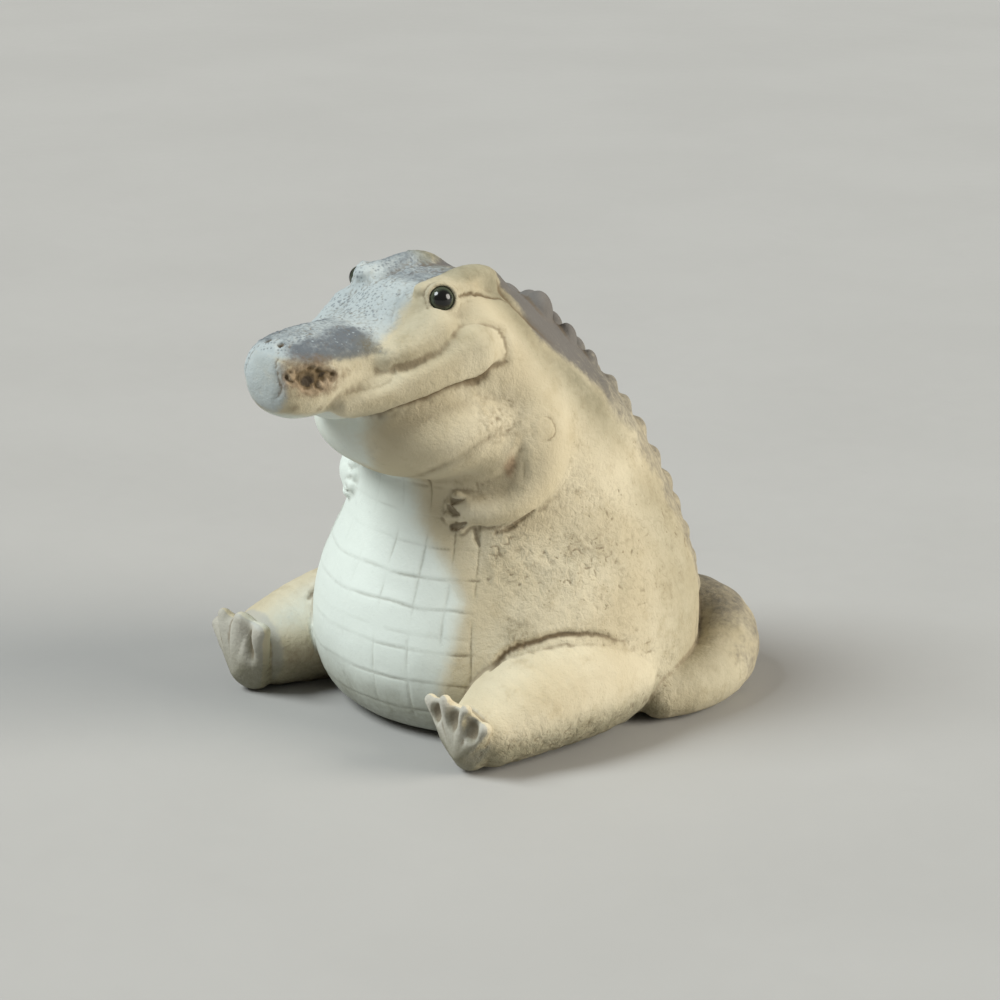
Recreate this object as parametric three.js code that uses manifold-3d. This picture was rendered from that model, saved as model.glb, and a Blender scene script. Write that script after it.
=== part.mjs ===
// A seated crocodile tea pet: a palm-sized stoneware figure with two inset eye beads.
// Millimetres, +Z up. The crocodile faces -Y and its left side is +X. The origin is the
// centre of the flat seat under its belly.

import * as THREE from "three";
import { LoftGeometry } from "three/addons/geometries/LoftGeometry.js";
import { mergeVertices } from "three/addons/utils/BufferGeometryUtils.js";
import Module from "manifold-3d";

const wasm = await Module();
wasm.setup();

const LEFT = 1;
const RIGHT = -1;

// How finely each kind of mass is faceted: sides around, and steps along or rings down.
const TORSO_FACETS = { around: 36, along: 20 };
const HEAD_FACETS = { around: 18, rings: 11 };
const MOUND_FACETS = { around: 12, rings: 8 };
const BEAD_FACETS = { around: 16, rings: 10 };
const LIMB_FACETS = { around: 12, along: 7, cap: 2 };
const ROLL_FACETS = { around: 10, along: 5, cap: 2 };
const DIGIT_FACETS = { around: 6, along: 1, cap: 1 };

// The torso is a pear, widest low down, and its neck leans forward over the belly.
// Each row is a height, how far the section's centre sits behind the seat's, a half width
// and a half depth.
const TORSO = [
  [0.0, 0.0, 21.5, 21.5],
  [1.2, 0.0, 24.2, 24.2],
  [3.5, 0.0, 26.6, 26.6],
  [7.5, 0.0, 28.2, 28.2],
  [13.0, 0.0, 28.7, 28.7],
  [18.5, 0.3, 28.1, 28.1],
  [24.0, 0.7, 26.4, 26.4],
  [30.0, 0.8, 23.8, 24.0],
  [36.0, 0.0, 21.6, 22.0],
  [42.0, -1.8, 19.8, 20.2],
  [48.0, -4.2, 18.0, 18.1],
  [54.0, -7.6, 15.6, 15.6],
  [59.0, -10.4, 13.2, 13.2],
  [63.0, -12.5, 9.5, 9.5],
  [65.5, -13.5, 3.5, 3.5],
];

// Rounded masses: a centre and three radii.
const CRANIUM = { centre: [0, -14.5, 57.4], radii: [13.4, 13.2, 8.8] };
const THROAT = { centre: [0, -16.2, 45.4], radii: [17.4, 14.2, 8.8] };
const CHEST_ROLL = { centre: [9.5, -12.5, 42.9], radii: [8.3, 8.3, 5.0] };
const EYE_MOUND = { centre: [7.0, -18.8, 63.5], radii: [3.1, 3.2, 3.0] };
const FOOT_PAD = { centre: [24.2, -27.6, 4.4], radii: [4.2, 2.6, 4.4] };
const FOOT_WEB = { centre: [24.0, -28.6, 7.6], radii: [5.2, 1.5, 3.8] };

// Limbs, jaws and tail: each row is a centre, a half width across and a half height.
const SNOUT = [
  [0, -20.0, 57.0, 8.8, 5.2],
  [0, -28.5, 56.1, 8.0, 5.1],
  [0, -32.0, 55.7, 7.3, 5.5],
  [0, -35.0, 55.4, 7.0, 5.8],
  [0, -38.0, 55.1, 6.7, 5.9],
  [0, -39.7, 54.9, 6.3, 5.8],
];
const FACE = [
  [0, -14.0, 58.0, 11.2, 6.6],
  [0, -21.0, 57.0, 10.5, 5.6],
  [0, -25.6, 56.2, 9.7, 5.0],
];
const CHIN = [
  [0, -15, 51.6, 13.6, 4.6],
  [0, -22, 51.5, 11.6, 4.1],
  [0, -28.5, 51.1, 9.0, 3.4],
  [0, -33.5, 50.4, 5.6, 2.6],
];
const CHEEK = [
  [7.7, -28.2, 57.3, 2.3, 2.0],
  [8.6, -25.0, 58.3, 3.0, 2.4],
  [9.3, -21.4, 59.9, 3.1, 3.0],
];
const JAW_ROLL = [
  [5.6, -34.6, 51.4, 2.2, 2.0],
  [8.2, -29.4, 52.6, 2.6, 2.5],
  [10.8, -23.0, 54.8, 3.0, 3.2],
  [12.0, -17.0, 57.2, 3.4, 3.9],
];
const BROW = [
  [6.6, -19.4, 63.9, 2.3, 1.9],
  [6.4, -15.0, 65.1, 2.6, 2.3],
  [6.0, -10.5, 65.1, 2.6, 2.3],
  [5.6, -7.4, 63.2, 2.3, 1.9],
];
const ARM = [
  [16.4, -9.0, 45.6, 3.2, 2.6],
  [17.6, -8.8, 42.0, 3.0, 2.7],
  [17.9, -9.7, 38.4, 2.8, 2.7],
  [16.8, -12.6, 35.3, 2.5, 2.9],
  [15.0, -15.5, 34.2, 2.3, 2.7],
  [13.3, -17.6, 34.0, 2.0, 2.2],
];
const LEG = [
  [21.4, -1.2, 8.6, 8.6, 8.4],
  [22.6, -8.6, 8.6, 8.8, 8.4],
  [23.4, -17.0, 7.4, 7.8, 7.2],
  [23.8, -23.6, 5.8, 5.8, 5.6],
];
const TAIL = [
  [0, 19, 8.6, 10.5, 8.6],
  [5, 26.6, 7.2, 8.4, 7.2],
  [12.4, 29.2, 6.8, 6.6, 6.9],
  [19.6, 26.4, 6.0, 5.3, 6.0],
  [24.2, 20.0, 4.8, 4.5, 4.8],
  [26.0, 12.5, 4.2, 4.2, 4.0],
  [25.2, 8.0, 4.0, 3.9, 3.8],
];

// The arms lie against the chest, so their sections face outwards rather than up. The
// right one stands out a little further than the left.
const OUTWARD = [0.8, -0.6, 0];
const UPWARD = [0, 0, 1];
const RIGHT_ARM_PUSH = [-0.25, -0.3, 0];

// The right leg lies lower at the hip, and its foot is larger and spread further out.
const RIGHT_HIP_SHIFT = [0, 0, -1.9];
const RIGHT_FOOT_SHIFT = [-0.9, -1.6, 0.1];
const RIGHT_FOOT_SCALE = 1.14;

// Fingers and toes fan out from a palm or a sole to their tips.
const PALM = [13.2, -17.8, 34.0];
const FINGER_TIPS = [
  [11.4, -18.9, 35.8],
  [10.5, -19.6, 34.5],
  [10.7, -19.9, 32.9],
  [12.4, -19.4, 31.7],
];
const FINGER = { root: 1.3, tip: 0.8 };
const SOLE = [24.2, -27.9, 3.8];
const TOE_TIPS = [
  [19.4, -30.3, 10.2],
  [23.0, -31.0, 11.4],
  [26.8, -30.7, 10.8],
  [29.8, -29.4, 8.9],
];
const TOE = { root: 2.2, tip: 1.35 };

const EYE = { centre: [8.9, -19.8, 64.3], radius: 1.75, gap: 0.3 };

// Scutes on the back stand in rows and columns, largest on the nape.
const SCUTE_ROWS = 12;
const SCUTE_HIGHEST = 58.5;
const SCUTE_LOWEST = 15;
const SCUTE_ANGLES = [-33, -11, 11, 33];
const SCUTE = { wide: 2.1, long: 2.3, proud: 1.5 };
const NAPE_ROWS = 3;
const NAPE_SCALE = 1.35;

// A block under the seat's plane that cuts belly, feet and tail off flat.
const GROUND = { side: 200, depth: 20 };

const vector = ([x, y, z]) => new THREE.Vector3(x, y, z);
const mirrored = (point, side) => [point[0] * side, ...point.slice(1)];
const radians = (degrees) => (degrees * Math.PI) / 180;

// A closed three.js mesh as a solid that joins and cuts.
function solid(geometry) {
  const bare = new THREE.BufferGeometry();
  const source = geometry.index ? geometry.toNonIndexed() : geometry;
  bare.setAttribute("position", source.getAttribute("position"));
  const merged = mergeVertices(bare, 1e-4);
  return new wasm.Manifold(
    new wasm.Mesh({
      numProp: 3,
      vertProperties: merged.attributes.position.array,
      triVerts: new Uint32Array(merged.index.array),
    }),
  );
}

function ellipsoid({ centre, radii }, side, { around, rings }) {
  const ball = new THREE.SphereGeometry(1, around, rings);
  ball.rotateX(Math.PI / 2);
  ball.scale(...radii);
  ball.translate(...mirrored(centre, side));
  return solid(ball);
}

// The value of one column a share of the way down rows of numbers, on a Catmull-Rom curve.
function between(rows, share, column) {
  const place = share * (rows.length - 1);
  const i = Math.min(Math.floor(place), rows.length - 2);
  const at = (k) => rows[Math.min(Math.max(k, 0), rows.length - 1)][column];
  const f = place - i;
  const [a, b, c, d] = [at(i - 1), at(i), at(i + 1), at(i + 2)];
  const slope = 0.5 * (c - a);
  const bend = a - 2.5 * b + 2 * c - 0.5 * d;
  const twist = 0.5 * (d - a) + 1.5 * (b - c);
  return b + slope * f + bend * f * f + twist * f * f * f;
}

// An elliptical section across `forward`, its height measured towards `facing`.
function ring(centre, forward, facing, wide, tall, around) {
  const side = facing.clone().cross(forward).normalize();
  const up = forward.clone().cross(side);
  return Array.from({ length: around }, (_, j) => {
    const turn = (j / around) * 2 * Math.PI;
    return centre
      .clone()
      .addScaledVector(side, wide * Math.cos(turn))
      .addScaledVector(up, tall * Math.sin(turn));
  });
}

// A limb with round ends along rows of [x, y, z, half width, half height].
function limb(rows, side, { around, along, cap }, facing = UPWARD) {
  const own = rows.map((row) => mirrored(row, side));
  const face = vector(mirrored(facing, side));
  const at = (share) => vector([0, 1, 2].map((column) => between(own, share, column)));
  const sections = [];
  const add = (share, shrink, push) => {
    const forward = at(Math.min(share + 0.01, 1)).sub(at(Math.max(share - 0.01, 0))).normalize();
    const wide = between(own, share, 3);
    const tall = between(own, share, 4);
    const centre = at(share).addScaledVector(forward, push * Math.min(wide, tall));
    sections.push(ring(centre, forward, face, wide * shrink, tall * shrink, around));
  };
  const rounding = (k) => radians((90 * k) / (cap + 0.4));
  for (let k = cap; k > 0; k--) add(0, Math.cos(rounding(k)), -Math.sin(rounding(k)));
  for (let i = 0; i <= along; i++) add(i / along, 1, 0);
  for (let k = 1; k <= cap; k++) add(1, Math.cos(rounding(k)), Math.sin(rounding(k)));
  return solid(new LoftGeometry(sections, { capStart: true, capEnd: true }));
}

function torso({ around, along }) {
  const sections = [];
  for (let i = 0; i <= along; i++) {
    const [height, back, wide, deep] = [0, 1, 2, 3].map((column) => between(TORSO, i / along, column));
    sections.push(
      Array.from({ length: around }, (_, j) => {
        const turn = (j / around) * 2 * Math.PI;
        return new THREE.Vector3(wide * Math.cos(turn), back + deep * Math.sin(turn), height);
      }),
    );
  }
  return solid(new LoftGeometry(sections, { capStart: true, capEnd: true }));
}

// Fingers or toes: a short tapering limb from one root to each tip.
function digits(root, tips, size, side) {
  return tips.map((tip) =>
    limb(
      [
        [...root, size.root, size.root],
        [...tip, size.tip, size.tip],
      ],
      side,
      DIGIT_FACETS,
    ),
  );
}

function arm(side) {
  const whole = wasm.Manifold.union([
    limb(ARM, side, LIMB_FACETS, OUTWARD),
    ...digits(PALM, FINGER_TIPS, FINGER, side),
  ]);
  return side === LEFT ? whole : whole.translate(RIGHT_ARM_PUSH);
}

// A row of the left leg's drawing on the side's own leg, a share of the way from hip to foot.
function onLeg([x, y, z, ...sizes], side, share = 1) {
  const own = mirrored([x, y, z], side);
  if (side === LEFT) return [...own, ...sizes];
  const middle = mirrored(SOLE, side);
  const scale = 1 + share * (RIGHT_FOOT_SCALE - 1);
  const move = RIGHT_HIP_SHIFT.map((hip, k) => (1 - share) * hip + share * RIGHT_FOOT_SHIFT[k]);
  const placed = own.map((value, k) => middle[k] + (value - middle[k]) * scale + move[k]);
  return [...placed, ...sizes.map((size) => size * scale)];
}

// One leg and its foot. Its rows are already on their own side, so they aren't mirrored again.
function leg(side) {
  const last = LEG.length - 1;
  const rows = LEG.map((row, k) => onLeg(row, side, k / last));
  const pads = [FOOT_PAD, FOOT_WEB].map(({ centre, radii }) => {
    const placed = onLeg([...centre, ...radii], side);
    return ellipsoid({ centre: placed.slice(0, 3), radii: placed.slice(3) }, LEFT, MOUND_FACETS);
  });
  const tips = TOE_TIPS.map((tip) => onLeg(tip, side));
  const toes = digits(onLeg(SOLE, side), tips, TOE, LEFT);
  return [limb(rows, LEFT, LIMB_FACETS), ...pads, ...toes];
}

// The torso's section at a height.
function torsoAt(height) {
  const last = TORSO.length - 1;
  let i = 0;
  while (i < last - 1 && TORSO[i + 1][0] < height) i++;
  const share = (i + (height - TORSO[i][0]) / (TORSO[i + 1][0] - TORSO[i][0])) / last;
  return [1, 2, 3].map((column) => between(TORSO, share, column));
}

function backScutes() {
  const scutes = [];
  for (let row = 0; row < SCUTE_ROWS; row++) {
    const height = SCUTE_HIGHEST + ((SCUTE_LOWEST - SCUTE_HIGHEST) * row) / (SCUTE_ROWS - 1);
    const [back, wide, deep] = torsoAt(height);
    const size = row < NAPE_ROWS ? NAPE_SCALE : 1;
    for (const angle of SCUTE_ANGLES) {
      const turn = radians(90 + angle);
      const keel = new THREE.OctahedronGeometry(1);
      keel.scale(SCUTE.wide * size, SCUTE.proud * size, SCUTE.long * size);
      keel.rotateZ(radians(angle));
      keel.translate(wide * Math.cos(turn), back + deep * Math.sin(turn), height);
      scutes.push(solid(keel));
    }
  }
  return scutes;
}

function figure() {
  const parts = [
    torso(TORSO_FACETS),
    ellipsoid(CRANIUM, LEFT, HEAD_FACETS),
    ellipsoid(THROAT, LEFT, HEAD_FACETS),
    limb(SNOUT, LEFT, LIMB_FACETS),
    limb(FACE, LEFT, LIMB_FACETS),
    limb(CHIN, LEFT, LIMB_FACETS),
    limb(TAIL, LEFT, LIMB_FACETS),
  ];
  for (const side of [LEFT, RIGHT]) {
    for (const mound of [EYE_MOUND, CHEST_ROLL]) {
      parts.push(ellipsoid(mound, side, MOUND_FACETS));
    }
    for (const rows of [CHEEK, JAW_ROLL, BROW]) parts.push(limb(rows, side, ROLL_FACETS));
    parts.push(...leg(side), arm(side));
  }
  parts.push(...backScutes());
  return wasm.Manifold.union(parts);
}

// Cut flat at the seat's plane, so that belly, feet and tail all stand on one surface.
function trimmed(body) {
  const ground = new THREE.BoxGeometry(GROUND.side, GROUND.side, GROUND.depth);
  ground.translate(0, 0, -GROUND.depth / 2);
  return body.subtract(solid(ground));
}

// A round socket for an eye bead, with clearance all round it.
function socketed(body, side) {
  const socket = EYE.radius + EYE.gap;
  const hollow = { centre: EYE.centre, radii: [socket, socket, socket] };
  return body.subtract(ellipsoid(hollow, side, BEAD_FACETS));
}

function eyeBead(side) {
  const { around, rings } = BEAD_FACETS;
  const bead = new THREE.Mesh(new THREE.SphereGeometry(EYE.radius, around, rings), glaze);
  bead.position.set(...mirrored(EYE.centre, side));
  bead.name = side === LEFT ? "left_eye" : "right_eye";
  return bead;
}

function meshOf(made, name, material) {
  const { numProp, vertProperties, triVerts } = made.getMesh();
  const geometry = new THREE.BufferGeometry();
  geometry.setAttribute("position", new THREE.BufferAttribute(vertProperties, numProp));
  geometry.setIndex(new THREE.BufferAttribute(triVerts, 1));
  geometry.computeVertexNormals();
  const mesh = new THREE.Mesh(geometry, material);
  mesh.name = name;
  return mesh;
}

const clay = new THREE.MeshStandardMaterial({ color: 0xd2c5a0, roughness: 0.8, metalness: 0 });
const glaze = new THREE.MeshStandardMaterial({ color: 0x14150f, roughness: 0.08, metalness: 0 });

const body = [LEFT, RIGHT].reduce(socketed, trimmed(figure()));

const crocodile = new THREE.Group();
crocodile.add(meshOf(body, "crocodile", clay), eyeBead(LEFT), eyeBead(RIGHT));

export default crocodile;
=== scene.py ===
"""A seated crocodile tea pet: one skin of fired clay with two glossy eye beads.

The skin is sculpted as a signed distance field in millimetres, in the frame's own axes:
the crocodile faces -Y, its left side is +X and its flat seat is at Z = 0. Finer relief
is then pressed into the mesh, and marks on its vertices steer the clay's colours.
"""
import itertools
import math

import bpy
import numpy as np
import openvdb
from mathutils import Matrix, Vector


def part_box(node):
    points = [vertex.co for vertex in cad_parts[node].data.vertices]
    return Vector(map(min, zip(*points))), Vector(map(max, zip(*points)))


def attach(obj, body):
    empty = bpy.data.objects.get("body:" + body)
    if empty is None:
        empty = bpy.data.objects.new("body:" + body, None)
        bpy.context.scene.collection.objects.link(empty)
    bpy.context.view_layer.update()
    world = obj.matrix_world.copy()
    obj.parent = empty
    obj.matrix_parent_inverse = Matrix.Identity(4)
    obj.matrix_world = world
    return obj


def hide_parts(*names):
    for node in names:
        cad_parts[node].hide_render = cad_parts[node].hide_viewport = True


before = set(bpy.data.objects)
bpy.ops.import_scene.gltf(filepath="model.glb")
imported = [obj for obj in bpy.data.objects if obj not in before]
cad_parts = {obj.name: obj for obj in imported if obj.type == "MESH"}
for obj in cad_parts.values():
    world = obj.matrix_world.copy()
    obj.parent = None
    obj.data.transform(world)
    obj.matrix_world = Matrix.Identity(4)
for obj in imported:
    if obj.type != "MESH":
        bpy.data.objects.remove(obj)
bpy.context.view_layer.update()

LEFT = 1
RIGHT = -1
SIDES = (LEFT, RIGHT)
UPWARD = (0, 0, 1)

# The drawing below is in millimetres and is scaled to the frame's own height.
DRAWN_HEIGHT = 67.45
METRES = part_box("crocodile")[1].z / DRAWN_HEIGHT

EYE_LOW, EYE_HIGH = (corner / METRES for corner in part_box("left_eye"))
EYE_CENTRE = tuple((EYE_LOW + EYE_HIGH) / 2)
EYE_RADIUS = (EYE_HIGH.x - EYE_LOW.x) / 2

# Spacing and corners of the grid that the clay is sculpted on, and the most triangles kept.
GRID_STEP = 0.25
GRID_LOW = (-33.6, -48.6, -1.5)
GRID_HIGH = (33.6, 38.4, 70.5)
MOST_TRIANGLES = 196000
# A distance past everything, how far a shape matters outside itself, and next to nothing.
FAR = 20.0
REACH = 4.0
TINY = 1e-6
# Multipliers that scramble a cell's three whole numbers, a seed and their mixture.
CELL_MIX = (73856093, 19349663, 83492791)
SEED_MIX = 40503
LAST_MIX = 1274126177
WORD = 2**32


# Masses of the body

# Height, how far the section's centre sits behind the seat's, half width, half depth.
TORSO = [
    (0.0, 0.0, 21.5, 21.5),
    (1.2, 0.0, 24.2, 24.2),
    (3.5, 0.0, 26.6, 26.6),
    (7.5, 0.0, 28.2, 28.2),
    (13.0, 0.0, 28.7, 28.7),
    (18.5, 0.3, 28.1, 28.1),
    (24.0, 0.7, 26.4, 26.4),
    (30.0, 0.8, 23.8, 24.0),
    (36.0, 0.0, 21.6, 22.0),
    (42.0, -1.8, 19.8, 20.2),
    (48.0, -4.2, 18.0, 18.1),
    (54.0, -7.6, 15.6, 15.6),
    (59.0, -10.4, 13.2, 13.2),
    (63.0, -12.5, 9.5, 9.5),
    (65.5, -13.5, 3.5, 3.5),
]
CRANIUM = ((0, -14.5, 57.4), (13.4, 13.2, 8.8))
THROAT = ((0, -16.2, 45.4), (17.4, 14.2, 8.8))
# A roll below the throat on each side.
CHEST_ROLL = ((9.5, -12.5, 42.9), (8.3, 8.3, 5.0))
TAIL_ROOT = ((3.0, 21.0, 8.0), (11.5, 9.0, 9.0))

# Each row is a centre, a half width and a half height.
SNOUT = [
    (0, -20.0, 57.0, 8.8, 5.2),
    (0, -28.5, 56.1, 8.0, 5.1),
    (0, -32.0, 55.7, 7.3, 5.5),
    (0, -35.0, 55.4, 7.0, 5.8),
    (0, -38.0, 55.1, 6.7, 5.9),
    (0, -39.5, 54.9, 6.2, 5.7),
]
FACE = [
    (0, -14.0, 58.0, 11.2, 6.6),
    (0, -21.0, 57.0, 10.5, 5.6),
    (0, -25.6, 56.2, 9.7, 5.0),
]
SNOUT_SQUARENESS = 2.5
CHIN = [
    (0, -15, 51.6, 13.6, 4.6),
    (0, -22, 51.2, 11.6, 3.8),
    (0, -28.5, 50.8, 9.0, 3.0),
    (0, -33.5, 50.4, 5.6, 2.6),
]
CHEEK = [
    (7.7, -28.2, 57.3, 2.3, 2.0),
    (8.6, -25.0, 58.3, 3.0, 2.4),
    (9.3, -21.4, 59.9, 3.1, 3.0),
]
JAW_ROLL = [
    (5.6, -34.6, 51.4, 2.2, 2.0),
    (8.2, -29.4, 52.6, 2.6, 2.5),
    (10.8, -23.0, 54.8, 3.0, 3.2),
    (12.0, -17.0, 57.2, 3.4, 3.9),
]
BROW = [
    (6.6, -19.4, 63.9, 2.3, 1.9),
    (6.4, -15.0, 65.1, 2.6, 2.2),
    (6.0, -10.5, 65.1, 2.6, 2.2),
    (5.6, -7.4, 63.2, 2.3, 1.9),
]
EYE_MOUND = ((7.0, -18.8, 63.5), (3.1, 3.2, 3.0))
EYE_HOOD = ((6.6, -21.0, 65.5), (1.3, 1.4, 0.9))
# The way the eye looks, the lid's radius and thickness around it, and the room in its socket.
GAZE = (0.86, -0.47, 0.2)
LID = (2.0, 0.5)
SOCKET_ROOM = 0.15
EYE_SEGMENTS = 64
EYE_RINGS = 32
ARM = [
    (16.4, -9.0, 45.6, 3.2, 2.6),
    (17.6, -8.8, 42.0, 3.0, 2.7),
    (17.9, -9.7, 38.4, 2.8, 2.7),
    (16.8, -12.6, 35.3, 2.5, 2.9),
    (15.0, -15.5, 34.2, 2.3, 2.7),
    (13.3, -17.6, 34.0, 2.0, 2.2),
]
# How softly each arm joins the body, from its lowest part to its highest, and its fingers.
ARM_BLENDS = {LEFT: (0.4, 1.4, 3.0, 4.5, 5.0), RIGHT: (2.4, 2.4, 3.0, 4.5, 5.0)}
FINGER_BLENDS = {LEFT: 0.7, RIGHT: 1.2}
OUTWARD = (0.8, -0.6, 0)
# The right arm stands out a little further, and its gaps are nearly filled by the slip.
RIGHT_ARM_PUSH = (-0.25, -0.3, 0)
RIGHT_GAP_SHARE = 0.3
LEG = [
    (21.4, -1.2, 8.6, 8.6, 8.4),
    (22.6, -8.6, 8.6, 8.8, 8.4),
    (23.4, -17.0, 7.4, 7.8, 7.2),
    (23.8, -23.6, 5.8, 5.8, 5.6),
]
TAIL = [
    (0, 19, 8.6, 10.5, 8.6),
    (5, 26.6, 7.2, 8.4, 7.2),
    (12.4, 29.2, 6.8, 6.6, 6.9),
    (19.6, 26.4, 6.0, 5.3, 6.0),
    (24.2, 20.0, 4.8, 4.5, 4.8),
    (26.0, 12.5, 4.2, 4.2, 4.0),
    (25.2, 8.0, 4.0, 3.9, 3.8),
]
PALM = (13.4, -17.8, 34.0)
FINGER_TIPS = [
    (11.4, -18.9, 35.8),
    (10.5, -19.6, 34.5),
    (10.7, -19.9, 32.9),
    (12.4, -19.4, 31.7),
]
FINGER = (1.2, 0.75)

# The foot is a fan: a sole widening from the heel, with four toes as ridges in front of
# it and a hollow of web between each two.
SOLE_FACING = (0.12, -1.0, 0.12)
SOLE = [
    (23.6, -27.4, 2.4, 2.7, 2.1),
    (23.4, -28.4, 5.2, 4.3, 1.9),
    (23.5, -29.0, 7.8, 5.1, 1.5),
    (23.8, -29.3, 9.3, 4.7, 1.1),
]
TOE_ROOT = (23.9, -29.2, 3.4)
TOE_TIPS = [
    (18.3, -29.9, 9.9),
    (22.1, -30.5, 10.9),
    (26.2, -30.2, 10.5),
    (28.8, -29.0, 8.2),
]
TOE = (1.5, 0.95)
# How softly the toes stand out and the hollows between them sink in.
TOE_BLENDS = {LEFT: 0.8, RIGHT: 2.2}
HOLLOW_BLENDS = {LEFT: 0.5, RIGHT: 1.0}
# The right leg lies lower at the hip, and its foot is larger and spread further out.
RIGHT_HIP_SHIFT = (0, 0, -1.9)
RIGHT_FOOT_SHIFT = (-0.9, -1.6, 0.1)
RIGHT_FOOT_SCALE = 1.14
# The left foot has a hollow of web between each two toes. The right one is a smoother mitten
# with a single long fold.
WEB_HOLLOWS = {
    LEFT: [
        ((20.1, -31.0, 8.6), (1.0, 1.5, 1.5)),
        ((24.0, -31.3, 8.9), (1.15, 1.6, 1.9)),
        ((27.2, -30.7, 8.0), (1.25, 1.6, 2.2)),
    ],
    RIGHT: [((20.1, -31.0, 7.6), (0.7, 1.25, 3.0))],
}

# Rows of keeled scutes down the back, largest on the nape. The outermost ones are smaller, sit
# higher and begin below the nape.
SCUTE_ROWS = 12
SCUTE_HEIGHTS = (58.5, 15.0)
SCUTE_ANGLES = (-55, -33, -11, 11, 33, 55)
SCUTE_SIZE = (2.1, 1.3, 1.9)
SCUTE_SINK = 0.65
NAPE_ROWS = 3
NAPE_SCALE = (1.6, 1.35, 1.15)
OUTER_ANGLE = 55
OUTER_SCALE = 0.7
OUTER_LIFT = 1.8
# How much they vary in size, height and degrees round the back.
SCUTE_SIZES = (0.85, 1.1)
SCUTE_SHIFTS = (-0.5, 0.5)
SCUTE_TURNS = (-2, 2)

# Wedge-shaped gaps between the fingers and the slit under the forearm, as a few points with
# a half height and a half depth each.
FINGER_GAPS = [
    [(10.9, -19.9, 35.2, 0.36, 0.8), (12.7, -19.2, 35.7, 0.12, 0.4)],
    [(10.6, -20.3, 34.4, 0.5, 0.8), (11.4, -20.1, 33.9, 0.4, 0.8), (12.5, -19.8, 33.6, 0.12, 0.4)],
    [(11.3, -20.1, 31.5, 0.4, 0.8), (12.4, -19.8, 31.9, 0.4, 0.8), (13.6, -19.3, 32.6, 0.12, 0.4)],
    [(14.3, -18.3, 31.4, 0.35, 0.6), (14.5, -18.3, 30.4, 0.3, 0.6), (14.9, -18.1, 29.4, 0.1, 0.3)],
]
FOREARM_SLIT = [
    (16.4, -16.4, 31.1, 0.12, 0.3),
    (17.5, -14.9, 31.8, 0.26, 0.6),
    (18.4, -13.2, 32.9, 0.24, 0.5),
    (19.1, -11.6, 34.2, 0.08, 0.15),
]
# How softly they are cut, and how dark the painted shadow in them is for their depth.
GAP_BLEND = 0.35
GAP_DARKNESS = 1.6

# Creases pressed into the skin. Each row is a point near the skin and the crease's strength
# there. Each crease has a half width and a depth, and how dark the stain and painted shadow in it
# are.
MOUTH = [
    (5.1, -38.5, 50.6, 0.2),
    (6.6, -36.7, 52.2, 0.5),
    (7.4, -34.9, 53.3, 0.8),
    (8.6, -32.5, 53.7, 1.0),
    (9.8, -30.3, 54.4, 0.9),
    (9.9, -29.5, 55.3, 0.6),
    (10.0, -28.9, 56.1, 0.9),
    (11.0, -27.2, 56.4, 1.0),
    (12.1, -24.4, 57.5, 0.9),
    (12.7, -22.2, 58.5, 0.6),
    (12.4, -20.7, 59.9, 0.4),
]
SMILE = [
    (12.4, -20.7, 59.9, 0.3),
    (12.2, -19.2, 60.7, 0.5),
    (12.6, -16.6, 61.0, 0.7),
    (13.0, -13.4, 60.0, 0.9),
    (13.7, -12.3, 58.4, 1.0),
    (14.2, -12.3, 56.4, 0.7),
    (14.3, -12.8, 55.4, 0.3),
]
JAWLINE = [
    (4.6, -30.6, 48.2, 0.5),
    (6.6, -29.6, 48.8, 0.8),
    (9.1, -28.5, 50.0, 1.0),
    (11.8, -24.2, 51.5, 1.0),
    (13.1, -21.4, 52.3, 1.0),
    (13.4, -17.1, 52.9, 0.9),
    (14.4, -15.2, 54.4, 0.8),
    (14.5, -12.8, 55.1, 0.5),
]
BROW_CREASE = [
    (10.3, -18.3, 64.3, 0.3),
    (10.0, -16.5, 64.6, 0.8),
    (9.6, -13.9, 64.4, 1.0),
    (9.9, -10.4, 63.4, 0.8),
    (10.2, -8.4, 62.6, 0.5),
]
LID_CREASE = [
    (8.9, -21.6, 63.0, 0.3),
    (8.2, -22.2, 64.2, 1.0),
    (7.7, -21.7, 65.5, 0.9),
    (7.8, -20.0, 66.6, 0.4),
]
NAPE_EDGE = [
    (7.6, -8.6, 65.4, 0.5),
    (8.7, -8.4, 64.2, 1.0),
    (10.3, -7.6, 62.0, 1.0),
    (12.5, -5.4, 58.8, 0.9),
    (13.7, -2.6, 55.9, 0.5),
    (14.6, 0.4, 53.0, 0.1),
]
TIP_CREASE = [
    (1.8, -42.7, 60.5, 0.2),
    (3.0, -44.6, 58.8, 0.7),
    (3.5, -45.2, 57.2, 1.0),
    (4.2, -44.9, 54.4, 0.9),
    (2.6, -45.2, 52.3, 0.3),
]
ARMPIT = [
    (18.4, -12.9, 44.9, 0.4),
    (18.4, -13.3, 43.7, 1.0),
    (18.1, -13.8, 42.1, 1.0),
    (17.6, -13.9, 40.7, 0.8),
    (16.3, -15.0, 39.3, 0.5),
    (14.5, -16.6, 38.0, 0.2),
]
ARM_LINE = [
    (18.7, -12.8, 42.9, 0.4),
    (18.6, -12.7, 40.5, 1.0),
    (18.7, -13.0, 38.8, 0.5),
]
HIP = [
    (20.8, -20.9, 13.1, 0.5),
    (21.0, -19.5, 14.3, 0.9),
    (21.7, -18.4, 15.4, 1.0),
    (22.6, -17.1, 16.1, 1.0),
    (23.6, -15.7, 16.5, 1.0),
    (25.2, -12.8, 17.3, 1.0),
    (26.4, -10.1, 17.3, 0.9),
    (27.6, -6.4, 16.6, 0.6),
    (28.5, -2.4, 14.9, 0.2),
]
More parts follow.
